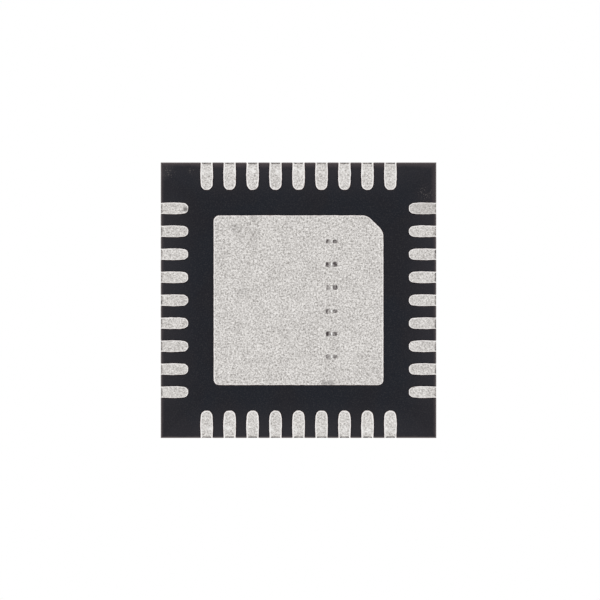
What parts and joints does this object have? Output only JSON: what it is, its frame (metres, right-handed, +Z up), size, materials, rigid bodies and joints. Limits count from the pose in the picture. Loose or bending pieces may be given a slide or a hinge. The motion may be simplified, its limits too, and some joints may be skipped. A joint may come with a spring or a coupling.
{
  "type": "qfn chip",
  "caption": "Square leadless surface-mount chip: thin moulded body with solder lands along every side of its underside and an exposed thermal pad in the middle.",
  "frame": {"origin": "centre of the seating plane, in which the solder lands and the exposed pad lie", "axes": "+Z up through the body, away from the board; terminal 1 at the -X, +Y corner, with terminals 1 to 9 down the -X side and the count anticlockwise seen from above"},
  "size_m": [0.006, 0.006, 0.0009],
  "materials": {
    "mould_compound": "matt black filled epoxy, sawn sides",
    "plated_pad": "matt tin plate on etched copper, fine grained",
    "plated_terminal": "matt tin plate on etched copper, bare copper on the sawn end",
    "die_attach": "silver-filled epoxy",
    "silicon": "ground silicon",
    "bond_wire": "drawn gold"
  },
  "bodies": {
    "root": {"mould_body": "mould_compound", "die_paddle": "plated_pad", "die_attach": "die_attach", "die": "silicon", "terminal_01": "plated_terminal", "terminal_02": "plated_terminal", "terminal_03": "plated_terminal", "terminal_04": "plated_terminal", "terminal_05": "plated_terminal", "terminal_06": "plated_terminal", "terminal_07": "plated_terminal", "terminal_08": "plated_terminal", "terminal_09": "plated_terminal", "terminal_10": "plated_terminal", "terminal_11": "plated_terminal", "terminal_12": "plated_terminal", "terminal_13": "plated_terminal", "terminal_14": "plated_terminal", "terminal_15": "plated_terminal", "terminal_16": "plated_terminal", "terminal_17": "plated_terminal", "terminal_18": "plated_terminal", "terminal_19": "plated_terminal", "terminal_20": "plated_terminal", "terminal_21": "plated_terminal", "terminal_22": "plated_terminal", "terminal_23": "plated_terminal", "terminal_24": "plated_terminal", "terminal_25": "plated_terminal", "terminal_26": "plated_terminal", "terminal_27": "plated_terminal", "terminal_28": "plated_terminal", "terminal_29": "plated_terminal", "terminal_30": "plated_terminal", "terminal_31": "plated_terminal", "terminal_32": "plated_terminal", "terminal_33": "plated_terminal", "terminal_34": "plated_terminal", "terminal_35": "plated_terminal", "terminal_36": "plated_terminal", "bond_wires_west": "bond_wire", "bond_wires_south": "bond_wire", "bond_wires_east": "bond_wire", "bond_wires_north": "bond_wire"}
  },
  "joints": []
}
